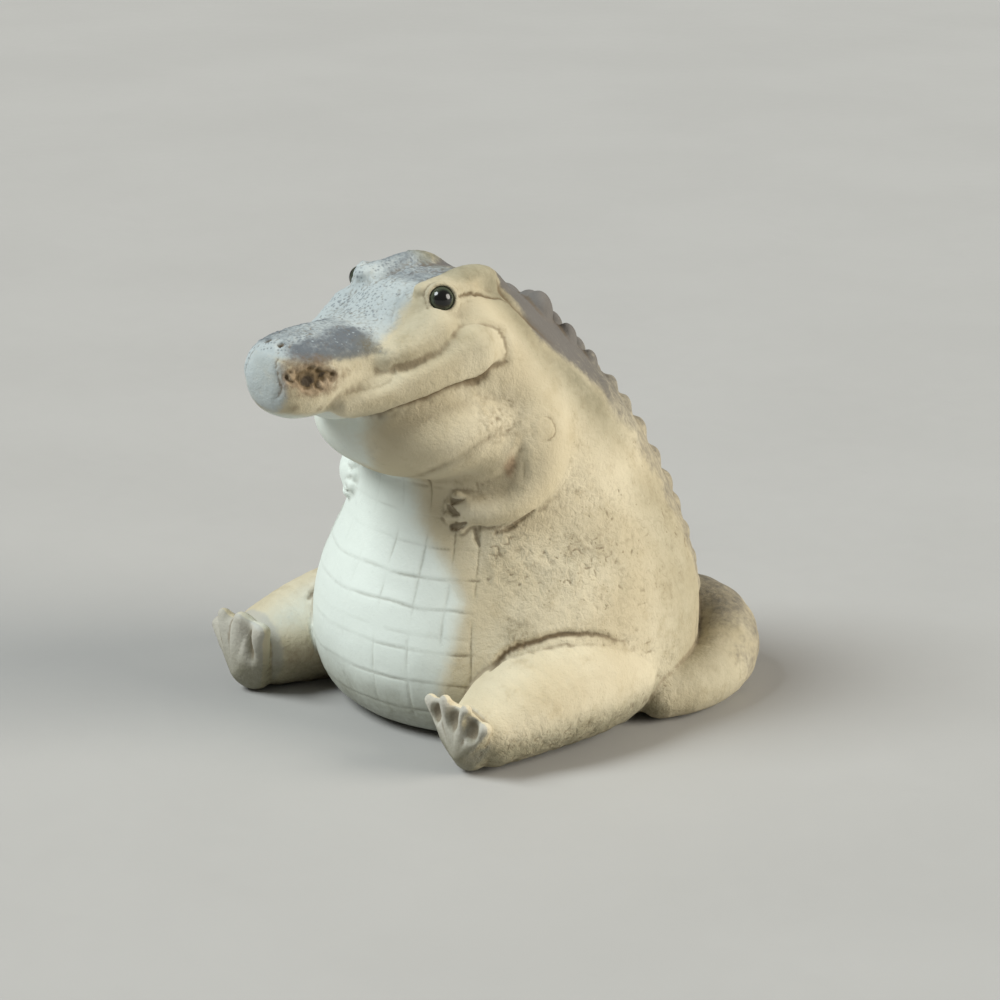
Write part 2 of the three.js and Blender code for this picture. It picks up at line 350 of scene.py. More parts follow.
UNDER_THROAT = [
    (2.3, -22.1, 37.3, 0.3),
    (9.5, -23.4, 39.5, 0.9),
    (12.7, -23.2, 41.2, 0.9),
    (14.5, -22.2, 42.3, 0.7),
    (16.2, -20.8, 43.9, 0.8),
    (17.1, -18.8, 45.3, 0.8),
    (17.3, -16.3, 46.0, 0.6),
    (17.4, -14.0, 46.9, 0.3),
]
CREASES = [
    (MOUTH, 0.75, 0.4, 0.2),
    (SMILE, 0.5, 0.28, 0.1),
    (JAWLINE, 0.6, 0.45, 0.8),
    (BROW_CREASE, 0.26, 0.3, 0.7),
    (LID_CREASE, 0.3, 0.2, 0.3),
    (NAPE_EDGE, 0.7, 0.4, 0.5),
    (TIP_CREASE, 0.3, 0.2, 0.15),
    (HIP, 0.42, 0.45, 0.75),
    (UNDER_THROAT, 0.9, 0.3, 0.5),
]
ARM_CREASES = [
    (ARMPIT, 0.7, 0.3, 0.3),
    (ARM_LINE, 0.4, 0.12, 0.1),
]
GAP_CREASE = (0.35, 0.0, 0.65)
# Samples to a crease's row, how much its depth wavers, the height of its lips and their place
# in half widths, and how wide its stain and painted shadow are for its width.
CREASE_SAMPLES = 6
CREASE_WAVER = 0.12
LIP_HEIGHT = 0.22
LIP_PLACE = 2.4
STAIN_WIDTH = 1.15
ARMPIT_BLUSH = (17.3, -14.5, 40.9)
SHOULDER = (19.7, -9.9, 46.1)
SHOULDER_RINGS = ((1.85, 1.0), (0.8, 0.4))

# The rough hollow on the left of the snout: middle and half sizes along Y and Z, its darkest
# spots with a half width each, and the corner that the slate wash runs to.
CAVITY_MIDDLE = (-40.6, 55.9)
CAVITY_HALF = (3.1, 1.75)
CAVITY_DEPTH = 0.9
CAVITY_SPOTS = ((-41.2, 55.2, 1.0), (-38.4, 56.1, 0.8))
CAVITY_CORNER = (-42.4, 58.2)
# Brown spots on the lip below it.
LIP_SPOTS = ((-42.7, 51.7), (-39.0, 51.1))
OLIVE_PATCH = (7.0, -31.0, 59.0)
NOSTRIL = (1.7, -42.7, 61.0)
NOSTRIL_RADIUS = 0.42

# The belly's plates: heights of the scored rows and angles of the scored columns in degrees
# from straight ahead, each with its strength.
PLATE_ROWS = [
    (36.8, 0.5), (32.7, 0.8), (28.7, 0.4), (24.5, 1.0),
    (20.4, 1.0), (16.8, 0.3), (14.6, 0.7), (9.7, 1.0), (5.0, 0.8),
]
PLATE_COLUMNS = [
    (-38.5, 0.8), (-30, 0.6), (-19.5, 0.8), (-7, 0.8),
    (7, 0.8), (19.5, 0.9), (30, 0.9), (38.5, 0.8),
]
PLATE_GROOVE = 0.22
# Some columns are worn away around one height, given with its half width.
WORN_COLUMNS = (7, 19.5)
WORN_BELT = (17.8, 2.0)

# Edges of the tints, as heights and the edge at each. The white slip's are in degrees round
# the belly, with how soft its near edge is and how far it reaches off the right of the torso.
SLIP_EDGE = ((3, 9.7, 17, 22, 26.5, 31, 42), (27, 30, 34, 35, 28, 17, 9))
SLIP_FAR_EDGE = ((3, 20, 42), (-34, -46, -56))
SLIP_SOFTNESS = ((20, 30), (5, 10))
SLIP_REACH = ((24, 30), (0.9, 3.5))
# The plum wash's are in degrees round from straight behind.
SPINE_EDGE = ((15, 30, 45, 55), (52, 60, 68, 78))
# The blue wash's are places along Y, and how far to the left it comes there.
WASH_EDGE = ((-33, -28, -16), (9, 6.2, 4.0))


# Small mathematics

def unit(vector):
    """The vector at length one."""
    vector = np.asarray(vector, float)
    return vector / np.linalg.norm(vector)


def through(rows, steps):
    """Rows of numbers joined by a Catmull-Rom curve, at steps + 1 even stations."""
    rows = np.asarray(rows, float)
    last = len(rows) - 1
    place = np.linspace(0, last, steps + 1)
    i = np.minimum(place.astype(int), last - 1)
    f = (place - i)[:, None]
    a, b, c, d = (rows[np.clip(i + k, 0, last)] for k in (-1, 0, 1, 2))
    slope = 0.5 * (c - a)
    bend = a - 2.5 * b + 2 * c - 0.5 * d
    twist = 0.5 * (d - a) + 1.5 * (b - c)
    return b + slope * f + bend * f**2 + twist * f**3


def mirrored(point, side):
    """The point on the crocodile's left or right side."""
    return (point[0] * side, *point[1:])


def ease(low, high, value):
    """A soft step from 0 at low to 1 at high. low may be the larger."""
    share = np.clip((value - low) / (high - low), 0, 1)
    return share * share * (3 - 2 * share)


def hump(middle, half, value):
    """A soft hump of height 1 around middle, down to 0.37 at half away."""
    return np.exp(-(((value - middle) / half) ** 2))


def chance(cells, seed):
    """A repeatable number from 0 to 1 for each whole-numbered cell."""
    x, y, z = (cells[..., axis].astype(np.int64) * CELL_MIX[axis] for axis in range(3))
    mixed = x ^ y ^ z ^ (seed * SEED_MIX)
    mixed = (mixed ^ (mixed >> 13)) * LAST_MIX
    mixed = (mixed ^ (mixed >> 16)) & (WORD - 1)
    return mixed / WORD


def lumps(points, size, seed):
    """Smooth noise from -1 to 1 with lumps about size across."""
    place = points / size
    cell = np.floor(place)
    f = place - cell
    f = f * f * (3 - 2 * f)
    total = np.zeros(len(points))
    for corner in itertools.product((0, 1), repeat=3):
        weight = np.prod(np.where(corner, f, 1 - f), axis=1)
        total += weight * chance(cell + corner, seed)
    return 2 * total - 1


def speckles(points, size, seed):
    """For scattered spots about size apart: distance to the nearest one, as a share of size,
    and a number from 0 to 1 that belongs to it."""
    place = points / size
    cell = np.floor(place)
    nearest = np.full(len(points), FAR)
    tag = np.zeros(len(points))
    for offset in itertools.product((-1, 0, 1), repeat=3):
        other = cell + offset
        spot = other + np.stack([chance(other, seed + axis) for axis in range(3)], axis=1)
        away = np.linalg.norm(spot - place, axis=1)
        closer = away < nearest
        tag = np.where(closer, chance(other, seed + 7), tag)
        nearest = np.where(closer, away, nearest)
    return nearest, tag


# Shapes and the clay they are joined into

class Shape:
    """A solid given by its reach and a function that says how far outside it a place is."""

    def __init__(self, low, high, distance):
        self.low = np.asarray(low, float)
        self.high = np.asarray(high, float)
        self.distance = distance


def ellipse_distance(parts, radii, power=2):
    """Distance from an ellipsoid, or a squarer solid at a higher power, from offsets along
    its axes. It is exact only near the skin."""
    if power == 2:
        level = sum((p / r) ** 2 for p, r in zip(parts, radii))
        steep = sum((p / r**2) ** 2 for p, r in zip(parts, radii))
        level = np.sqrt(level)
    else:
        sizes = [np.abs(p) for p in parts]
        level = sum((p / r) ** power for p, r in zip(sizes, radii)) ** (1 / power)
        steep = sum((p ** (power - 1) / r**power) ** 2 for p, r in zip(sizes, radii))
    return level ** (power - 1) * (level - 1) / np.sqrt(steep + TINY)


def ball(centre, radii, axes=np.eye(3)):
    """An ellipsoid, with its radii along the rows of axes."""
    centre = np.asarray(centre, float)
    axes = np.asarray(axes, float)

    def distance(x, y, z):
        away = (x - centre[0], y - centre[1], z - centre[2])
        parts = [sum(a * w for a, w in zip(axis, away)) for axis in axes]
        return ellipse_distance(parts, radii)

    most = max(radii)
    return Shape(centre - most, centre + most, distance)


def ring(centre, axis, radius, thickness):
    """A round ring about an axis."""
    centre = np.asarray(centre, float)
    axis = unit(axis)

    def distance(x, y, z):
        away = (x - centre[0], y - centre[1], z - centre[2])
        lift = sum(w * a for w, a in zip(away, axis))
        flat = np.sqrt(sum(w * w for w in away) - lift * lift + TINY)
        return np.hypot(flat - radius, lift) - thickness

    most = radius + thickness
    return Shape(centre - most, centre + most, distance)


def segment(start, end, facing, power):
    """A straight tapering piece of a limb between two rows."""
    a, b = start[:3], end[:3]
    span = b - a
    forward = unit(span)
    side = unit(np.cross(facing, forward))
    top = np.cross(forward, side)

    def distance(x, y, z):
        away = (x - a[0], y - a[1], z - a[2])
        share = sum(w * s for w, s in zip(away, span)) / (span @ span)
        share = np.clip(share, 0, 1)
        off = [w - share * s for w, s in zip(away, span)]
        wide = start[3] + share * (end[3] - start[3])
        tall = start[4] + share * (end[4] - start[4])
        parts = [sum(o * d for o, d in zip(off, way)) for way in (side, top, forward)]
        return ellipse_distance(parts, (wide, tall, np.minimum(wide, tall)), power)

    most = max(start[3], start[4], end[3], end[4])
    return Shape(np.minimum(a, b) - most, np.maximum(a, b) + most, distance)


def limb(rows, side=LEFT, facing=UPWARD, steps=14, power=2):
    """A limb with round ends along rows, as a list of shapes."""
    stations = through([mirrored(row, side) for row in rows], steps)
    facing = mirrored(facing, side)
    return [segment(a, b, facing, power) for a, b in zip(stations[:-1], stations[1:])]


def digits(root, tips, sizes, facing):
    """Fingers or toes from one root to each tip."""
    made = []
    for tip in tips:
        rows = [(*root, sizes[0], sizes[0]), (*tip, sizes[1], sizes[1])]
        made += limb(rows, facing=facing, steps=1)
    return made


def torso_section(height):
    """Centre, half width and half depth of the torso at any heights."""
    rows = through(TORSO, 140)
    return [np.interp(height, rows[:, 0], rows[:, column]) for column in (1, 2, 3)]


def torso_distance(x, y, z):
    """Distance from the pear of the belly, chest and neck, a stack of flat ellipses."""
    back, wide, deep = torso_section(z)
    slope = torso_section(z + 0.5)[1] - torso_section(z - 0.5)[1]
    flat = ellipse_distance((x, y - back), (wide, deep)) / np.sqrt(1 + slope**2)
    return np.maximum(flat, z - TORSO[-1][0])


class Clay:
    """The sculpture: a grid of distances from its skin, negative inside."""

    def __init__(self, low, high, step):
        self.step = step
        self.axes = [np.arange(a, b, step, dtype=np.float32) for a, b in zip(low, high)]
        self.depth = np.full([len(axis) for axis in self.axes], FAR, np.float32)

    def window(self, low, high):
        """The part of the grid between two corners, and its coordinates."""
        cut = tuple(
            slice(np.searchsorted(axis, a), np.searchsorted(axis, b))
            for axis, a, b in zip(self.axes, low, high)
        )
        x, y, z = (axis[c] for axis, c in zip(self.axes, cut))
        return cut, (x[:, None, None], y[None, :, None], z[None, None, :])

    def gathered(self, shapes):
        """The window that the shapes reach, and their distance there as one solid."""
        low = np.min([s.low for s in shapes], axis=0) - REACH
        high = np.max([s.high for s in shapes], axis=0) + REACH
        whole, _ = self.window(low, high)
        group = np.full(self.depth[whole].shape, FAR, np.float32)
        for shape in shapes:
            cut, place = self.window(shape.low - REACH, shape.high + REACH)
            inner = tuple(
                slice(c.start - w.start, c.stop - w.start) for c, w in zip(cut, whole)
            )
            near = shape.distance(*place).astype(np.float32)
            group[inner] = np.minimum(group[inner], near)
        return whole, group

    def add(self, shapes, blend):
        """Joins the shapes on, with a fillet about as wide as blend. Several blends follow
        each other from the shapes' lowest to their highest."""
        whole, group = self.gathered(shapes)
        if isinstance(blend, tuple):
            heights = self.axes[2][whole[2]]
            stations = np.linspace(heights[0] + REACH, heights[-1] - REACH, len(blend))
            blend = np.interp(heights, stations, blend)
        self.depth[whole] = soft_min(self.depth[whole], group, blend)

    def cut(self, shapes, blend):
        """Hollows the shapes out, with rounded rims."""
        whole, group = self.gathered(shapes)
        self.depth[whole] = -soft_min(-self.depth[whole], group, blend)

    def level(self, height):
        """Cuts the clay off flat below a height."""
        below = (height - self.axes[2])[None, None, :]
        self.depth = np.maximum(self.depth, below)

    def skin(self):
        """The skin as vertices in millimetres and quads."""
        grid = openvdb.FloatGrid(FAR)
        grid.copyFromArray(np.clip(self.depth, -REACH, REACH))
        points, _, quads = grid.convertToPolygons(isovalue=0.0, adaptivity=0.0)
        low = np.array([axis[0] for axis in self.axes])
        return points * self.step + low, quads.astype(np.int64)


def soft_min(a, b, blend):
    """The smaller of two distances, rounded off where they are nearly equal."""
    share = np.clip(0.5 + 0.5 * (b - a) / blend, 0, 1)
    return (b + (a - b) * share - blend * share * (1 - share)).astype(np.float32)


# Sculpting

def add_head(clay):
    """The skull, snout and jaw, with cheeks, brows and lids on both sides."""
    clay.add([ball(*CRANIUM)], 1.5)
    clay.add(limb(CHIN), 1.5)
    clay.add(limb(SNOUT, steps=30, power=SNOUT_SQUARENESS), 1.0)
    clay.add(limb(FACE), 0.9)
    for side in SIDES:
        clay.add(limb(JAW_ROLL, side), 1.2)
        clay.add(limb(CHEEK, side), 1.5)
        clay.add(limb(BROW, side), 1.4)
        clay.add([ball(mirrored(EYE_MOUND[0], side), EYE_MOUND[1])], 1.5)
        clay.add([ball(mirrored(EYE_HOOD[0], side), EYE_HOOD[1])], 0.8)
        lid = ring(mirrored(EYE_CENTRE, side), mirrored(GAZE, side), *LID)
        clay.add([lid], 0.5)


def on_arm(row, side):
    """A row of the left arm's drawing, on the side's own arm."""
    x, y, z = mirrored(row[:3], side)
    push = (0, 0, 0) if side == LEFT else RIGHT_ARM_PUSH
    return (x + push[0], y + push[1], z + push[2], *row[3:])


def add_arm(clay, side):
    """One arm, soft at the shoulder and crisp at the hand."""
    facing = mirrored(OUTWARD, side)
    clay.add(limb([on_arm(row, side) for row in ARM], facing=facing), ARM_BLENDS[side])
    tips = [on_arm(tip, side) for tip in FINGER_TIPS]
    clay.add(digits(on_arm(PALM, side), tips, FINGER, facing), FINGER_BLENDS[side])
    for gap in (*FINGER_GAPS, FOREARM_SLIT):
        clay.cut(limb(gap_rows(gap, side), facing=facing, steps=3 * len(gap)), GAP_BLEND)


def gap_rows(gap, side):
    """A gap's rows on one arm."""
    share = 1 if side == LEFT else RIGHT_GAP_SHARE
    return [(*on_arm(row[:3], side), share * row[3], share * row[4]) for row in gap]


def on_leg(row, side, share=1.0):
    """A row of the left leg's drawing on the side's own leg, a share of the way from the
    hip to the foot."""
    x, y, z = mirrored(row[:3], side)
    if side == LEFT:
        return (x, y, z, *row[3:])
    scale = 1 + share * (RIGHT_FOOT_SCALE - 1)
    hip, foot = np.array(RIGHT_HIP_SHIFT), np.array(RIGHT_FOOT_SHIFT)
    move = (1 - share) * hip + share * foot
    middle = mirrored(TOE_ROOT, side)
    place = [m + (p - m) * scale + s for m, p, s in zip(middle, (x, y, z), move)]
    return (*place, *[size * scale for size in row[3:]])


def add_leg(clay, side):
    """One leg with its webbed foot standing on the heel."""
    facing = mirrored(SOLE_FACING, side)
    last = len(LEG) - 1
    clay.add(limb([on_leg(row, side, k / last) for k, row in enumerate(LEG)]), 0.5)
    clay.add(limb([on_leg(row, side) for row in SOLE], facing=facing), 0.8)
    tips = [on_leg(tip, side) for tip in TOE_TIPS]
    clay.add(digits(on_leg(TOE_ROOT, side), tips, TOE, facing), TOE_BLENDS[side])
    for centre, radii in WEB_HOLLOWS[side]:
        clay.cut([ball(on_leg(centre, side), radii)], HOLLOW_BLENDS[side])


def add_scutes(clay):
    """The rows of keeled scutes, each a little out of line as if pressed on by hand."""
    heights = np.linspace(*SCUTE_HEIGHTS, SCUTE_ROWS)
    draw = np.random.default_rng(7)
    for row, height in enumerate(heights):
        for angle in SCUTE_ANGLES:
            outer = abs(angle) == OUTER_ANGLE
            if outer and row < NAPE_ROWS:
                continue
            size = (NAPE_SCALE[row] if row < NAPE_ROWS else 1.0) * (OUTER_SCALE if outer else 1.0)
            size *= draw.uniform(*SCUTE_SIZES)
            place = height + draw.uniform(*SCUTE_SHIFTS) + (OUTER_LIFT if outer else 0)
            turn = math.radians(90 + angle + draw.uniform(*SCUTE_TURNS))
            back, wide, deep = torso_section(place)
            out = np.array([math.cos(turn), math.sin(turn), 0])
            centre = np.array([wide * out[0], back + deep * out[1], place]) - SCUTE_SINK * out
            axes = [np.cross(UPWARD, out), out, UPWARD]
            clay.add([ball(centre, [r * size for r in SCUTE_SIZE], axes)], 0.8)


def sculpted():
    """The whole body's skin."""
    clay = Clay(GRID_LOW, GRID_HIGH, GRID_STEP)
    clay.add([Shape((-30, -30, -2), (30, 30, 67), torso_distance)], 1)
    clay.add([ball(*TAIL_ROOT)], 5)
    add_scutes(clay)
    for side in SIDES:
        clay.add([ball(mirrored(CHEST_ROLL[0], side), CHEST_ROLL[1])], 3)
    clay.add([ball(*THROAT)], 0.8)
    add_head(clay)
    clay.add(limb(TAIL), 0.8)
    for side in SIDES:
        add_leg(clay, side)
        add_arm(clay, side)
        socket = ball(mirrored(EYE_CENTRE, side), (EYE_RADIUS + SOCKET_ROOM,) * 3)
        clay.cut([socket], 0.3)
    clay.level(0.0)
    return clay.skin()


# Relief

class Skin:
    """The skin's vertices, normals and quads, and marks on the vertices for the finish."""

    MARKS = (
        "pale", "wash", "band", "plum", "stain_and_painted_shadow", "rust", "sole", "dust", "shade", "rough", "hollow",
    )

    def __init__(self, points, quads):
        self.points = points
        self.quads = quads
        self.normals = self.find_normals()
        self.marks = {name: np.zeros(len(points)) for name in self.MARKS}

    def find_normals(self):
        """Normals that point out of the clay."""
        a, b, c, d = (self.points[self.quads[:, corner]] for corner in range(4))
        faces = np.cross(c - a, d - b)
        normals = self.gathered(faces)
        volume = (a * faces).sum()
        return math.copysign(1, volume) * normals / (np.linalg.norm(normals, axis=1) + TINY)[:, None]

    def gathered(self, values):
        """Each vertex's sum of the values on the quads around it."""
        corners = self.quads.ravel()
        spread = np.repeat(values, 4, axis=0)
        sums = [np.bincount(corners, spread[:, k], len(self.points)) for k in range(spread.shape[1])]
        return np.stack(sums, axis=1)

    def smoothed(self, values, passes):
        """Values evened out between neighbours, over and over."""
        count = self.gathered(np.ones((len(self.quads), 1)))
        for _ in range(passes):
            faces = values[self.quads].mean(axis=1)
            values = self.gathered(faces) / np.maximum(count, 1)
        return values

    def press(self, depth):
        """Moves the skin in by depth, along its normals."""
        self.points = self.points - self.normals * depth[:, None]

    def near(self, place):
        """The vertex nearest to a place."""
        return self.points[np.argmin(((self.points - place) ** 2).sum(axis=1))]

    def mark(self, name, value):
        """Raises a mark to a value wherever it is lower."""
        self.marks[name] = np.maximum(self.marks[name], np.clip(value, 0, 1))


def line_distance(points, line):
    """Distance from each point to a line through samples, and the line's strength there."""
    nearest = np.full(len(points), FAR)
    strength = np.zeros(len(points))
    for a, b in zip(line[:-1], line[1:]):
        span = b[:3] - a[:3]
        share = np.clip((points - a[:3]) @ span / (span @ span + TINY), 0, 1)
        away = np.linalg.norm(points - a[:3] - share[:, None] * span, axis=1)
        closer = away < nearest
        nearest = np.where(closer, away, nearest)
        strength = np.where(closer, a[3] + share * (b[3] - a[3]), strength)
    return nearest, strength


def press_crease(skin, rows, half, depth, stain_and_painted_shadow):
    """Scores one crease, with the clay pushed up a little on both sides of it."""
    line = through(rows, CREASE_SAMPLES * (len(rows) - 1))
    line[:, :3] = [skin.near(place) for place in line[:, :3]]
    low, high = line[:, :3].min(axis=0) - REACH, line[:, :3].max(axis=0) + REACH
    there = np.flatnonzero(((skin.points > low) & (skin.points < high)).all(axis=1))
    away, strength = line_distance(skin.points[there], line)
    uneven = 1 + CREASE_WAVER * lumps(skin.points[there], 3.0, 3)
    groove = strength * hump(0, half, away) * uneven
    lip = LIP_HEIGHT * strength * hump(LIP_PLACE * half, half, away)
    press = np.zeros(len(skin.points))
    press[there] = depth * (groove - lip)
    skin.press(press)
    # The dark in a crease is partly brown stain and partly painted shadow.
    dark = np.zeros(len(skin.points))
    dark[there] = stain_and_painted_shadow * strength * hump(0, STAIN_WIDTH * half, away)
    skin.mark("stain_and_painted_shadow", dark)


def press_creases(skin):
    """Every crease on both sides, with painted shadow in the gaps, and the shoulders' wrinkles."""
    for side in SIDES:
        for rows, *how in CREASES:
            press_crease(skin, [mirrored(row, side) for row in rows], *how)
        for rows, *how in ARM_CREASES:
            press_crease(skin, [on_arm(row, side) for row in rows], *how)
        for gap in (*FINGER_GAPS, FOREARM_SLIT):
            rows = [(x, y, z, GAP_DARKNESS * deep) for x, y, z, _, deep in gap_rows(gap, side)]
            press_crease(skin, rows, *GAP_CREASE)
        press_shoulder(skin, skin.near(on_arm(SHOULDER, side)))


def press_shoulder(skin, shoulder):
    """Faint broken wrinkles round a shoulder."""
    away = np.linalg.norm(skin.points - shoulder, axis=1) + 0.3 * lumps(skin.points, 1.3, 71)
    broken = ease(-0.9, -0.1, lumps(skin.points, 1.6, 72))
    for radius, strength in SHOULDER_RINGS:
        wrinkle = strength * broken * hump(radius, 0.35, away)
        skin.press(0.12 * wrinkle)
        skin.mark("stain_and_painted_shadow", 0.1 * wrinkle)


def front_angle(points):
    """Degrees round the torso from straight ahead, positive towards the left."""
    back, _, _ = torso_section(points[:, 2])
    return np.degrees(np.arctan2(points[:, 0], back - points[:, 1]))


def on_torso(skin):
    """1 on the bare torso, 0 on what is joined to it."""
    away = torso_distance(*skin.points.T)
    return ease(0.55, 0.2, np.abs(away))


def plate_grooves(height, along, deep):
    """The scored grid of the belly's plates, 1 in the middle of a strong line."""
    groove = np.zeros(len(height))
    for row, strength in PLATE_ROWS:
        groove = np.maximum(groove, strength * hump(row, PLATE_GROOVE, height))
    for column, strength in PLATE_COLUMNS:
        line = np.radians(column) * deep
        left = 1 - 0.9 * hump(*WORN_BELT, height) * (abs(column) in WORN_COLUMNS)
        groove = np.maximum(groove, strength * left * hump(line, PLATE_GROOVE, along))
    return groove


def press_plates(skin):
    """The belly's grid of plates, scored by hand, under white slip."""
    points = skin.points
    angle = front_angle(points)
    height = points[:, 2] + 0.3 * lumps(points, 5, 11)
    _, _, deep = torso_section(points[:, 2])
    along = np.radians(angle) * deep + 0.3 * lumps(points, 6, 12)
    apron = on_torso(skin) * ease(40.5, 38.8, np.abs(angle))
    apron = apron * ease(2.5, 4, height) * ease(42, 39, height)
    uneven = np.clip(0.55 + 0.9 * lumps(points, 3.5, 13), 0.05, 1.1)
    groove = plate_grooves(height, along, deep) * uneven * apron
    near = ease(-20, 30, angle)
    skin.press((0.06 + 0.1 * near) * groove)
    # Olive in the grooves: their grey-green stain, with painted shadow, strongest towards the left.
    skin.mark("shade", (0.02 + 0.4 * near) * groove)
    # The lower edge of each plate stands a little proud of the row below it.
    step = 0
    for row, strength in PLATE_ROWS:
        step = step + strength * ease(row + 1.5, row + 0.3, height) * ease(row, row + 0.3, height)
    skin.press(-0.06 * apron * step)
    mark_slip(skin, points, angle)


def mark_slip(skin, points, angle):
    """White slip on the belly. It runs over the right arm, but stops short of the legs."""
    x, y, z = points.T
    edge = np.interp(z, *SLIP_EDGE)
    far_edge = np.interp(z, *SLIP_FAR_EDGE)
    soft = np.interp(z, *SLIP_SOFTNESS)
    slip = ease(edge + soft, edge - soft, angle) * ease(far_edge - 3, far_edge + 3, angle)
    reach = np.where(x < 0, np.interp(z, *SLIP_REACH), SLIP_REACH[1][0])
    bare = ease(reach, reach - 0.5, np.abs(torso_distance(x, y, z)))
    skin.mark("pale", slip * bare * ease(44, 40, z))


def press_snout(skin):
    """The snout and forehead, with all that is pressed into them or washed over them."""
    x, y, z = skin.points.T
    press_forehead(skin, x, y, z)
    mark_face(skin, x, y, z)
    press_nostrils(skin)
    press_cavity(skin, x, y, z)
    tip = ease(-43.0, -44.6, y)
    skin.mark("wash", 0.8 * tip)
    skin.marks["band"] *= 1 - tip


def press_forehead(skin, x, y, z):
    """Bumps under a blue wash, with a slate band on the snout and a slate crown."""
    up = skin.normals[:, 2]
    top = ease(0.1, 0.5, up) * ease(57.5, 59.5, z) * ease(-9, -13, y)
    nearest, tag = speckles(skin.points, 0.8, 21)
    dome = ease(0.62, 0.2, nearest)
    inner = np.interp(y, *WASH_EDGE)
    washed = ease(inner + 2.5, inner - 2.5, x + lumps(skin.points, 3, 22))
    skin.press(-0.1 * top * washed * dome * (0.5 + tag))
    right = ease(0, -3, x) * ease(53, 56, z) * ease(-9, -13, y)
    skin.mark("wash", washed * np.maximum(top, right))
    # The band is darkest a little off the middle of the snout.
    ragged = np.abs(x) + lumps(skin.points, 2.2, 23) + 0.5 * lumps(skin.points, 0.9, 24)
    snout = ease(0.0, 0.5, up) * ease(-27.5, -32.0, y) * ease(-45.2, -41.0, y) * ease(56.5, 58.5, z)
    skin.mark("band", snout * (0.5 + 0.45 * ease(1.6, 4.4, ragged)))
    crown = washed * ease(-22.0, -17.0, y + 1.5 * lumps(skin.points, 3, 25)) * ease(61, 64, z)
    skin.mark("band", 0.6 * crown)


def mark_face(skin, x, y, z):
    """An olive patch beside the snout's root, and shade on the brow and the face."""
    olive = np.linalg.norm(skin.points - OLIVE_PATCH, axis=1)
    skin.mark("dust", hump(0, 2.0, olive))
    skin.mark("shade", 0.5 * hump(0, 2.2, olive))
    brow = ease(65.0, 66.8, z) * ease(-19.5, -16.0, y) * ease(3.0, 5.0, x)
    skin.mark("shade", 0.75 * brow)
    face = (0.17 + 0.16 * ease(55, 58.5, z)) * ease(-12, -16, y) * ease(49, 52, z)
    skin.mark("shade", face * (1 - 0.8 * skin.marks["wash"]))


def press_nostrils(skin):
    """Two small dark nostrils with raised rims."""
    for side in SIDES:
        nostril = skin.near(mirrored(NOSTRIL, side))
        away = np.linalg.norm(skin.points - nostril, axis=1)
        skin.press(0.7 * hump(0, NOSTRIL_RADIUS, away) - 0.12 * hump(0.95, 0.4, away))
        skin.mark("stain_and_painted_shadow", 1.3 * hump(0, NOSTRIL_RADIUS, away))


def press_cavity(skin, x, y, z):
    """The rough hollow on the left of the snout, with stain in it and soaked in round it."""
    off = np.hypot((y - CAVITY_MIDDLE[0]) / CAVITY_HALF[0], (z - CAVITY_MIDDLE[1]) / CAVITY_HALF[1])
    off = off + 0.26 * lumps(skin.points, 1.1, 31) + 0.14 * lumps(skin.points, 0.5, 32)
    left = ease(2, 3.5, x)
    floor = 0.75 + 0.45 * lumps(skin.points, 0.9, 33) + 0.25 * lumps(skin.points, 0.45, 34)
    skin.press(CAVITY_DEPTH * left * ease(1.05, 0.7, off) * floor)
    soaked = left * ease(-45.5, -44, y)
    skin.mark("rust", soaked * np.maximum(ease(1.45, 0.9, off), 0.6 * ease(2.6, 1.0, off)))
    skin.mark("dust", 0.75 * soaked * ease(2.4, 1.0, off))
    corner = np.hypot(y - CAVITY_CORNER[0], z - CAVITY_CORNER[1])
    skin.mark("band", 0.6 * left * hump(0, 1.5, corner))
    spots = [hump(0, half, np.hypot(y - a, z - b)) for a, b, half in CAVITY_SPOTS]
    skin.mark("stain_and_painted_shadow", left * ease(1.05, 0.6, off) * (0.75 + 0.45 * np.maximum(*spots)))
    rim = hump(1.3, 0.16, off) * left * ease(55.5, 57, z)
    skin.press(-0.18 * rim)
    skin.mark("pale", 0.35 * rim)
    for a, b in LIP_SPOTS:
        skin.mark("stain_and_painted_shadow", 0.55 * left * hump(0, 0.8, np.hypot(y - a, z - b)))


def press_pits(skin):
    """Pits and a crumpled roughness over the flanks, thighs, neck and back, with darker brown and
    olive over the front of the flanks and painted shade low on the belly and legs where they face
    down.
    """
    points = skin.points
    _, y, z = points.T
    angle = np.abs(front_angle(points))
    flank = ease(38, 44, angle) * ease(52, 47, z)
    bare = on_torso(skin)
    patches = 0.2 + 0.45 * ease(-0.35, 0.25, lumps(points, 8, 41))
    belt = hump(27, 7, z) * ease(110, 70, angle)
    low_leg = (1 - bare) * ease(9, 5, z) * (1 - 0.7 * ease(4, 10, y))
    coarse = flank * np.maximum(bare * np.maximum(patches, belt), low_leg)
    skin.mark("rough", coarse)
    crumple = 0.1 * lumps(points, 1.6, 43) + 0.09 * lumps(points, 0.9, 44)
    skin.press(crumple * coarse)
    press_holes(skin, points, coarse)
    press_neck(skin, points)
    # Darker speckled brown and olive over the front of the flanks.
    front = ease(78, 45, angle) * ease(43, 34, z)
    flank_front_darkening = np.maximum(front, 0.7 * belt) * flank * bare * ease(0.6, -0.4, lumps(points, 6, 49))
    skin.mark("dust", 0.9 * flank_front_darkening)
    skin.mark("shade", 0.3 * flank_front_darkening)
    # Painted shade: olive low on the belly and on the legs where they face down.
    under = ease(0.3, -0.4, skin.normals[:, 2])
    leg_shade = 0.85 * ease(11, 3, z) * ease(10, 4, y)
    skin.mark("shade", np.where(bare > 0.5, 0.75 * ease(14, 4, z), leg_shade) * under)


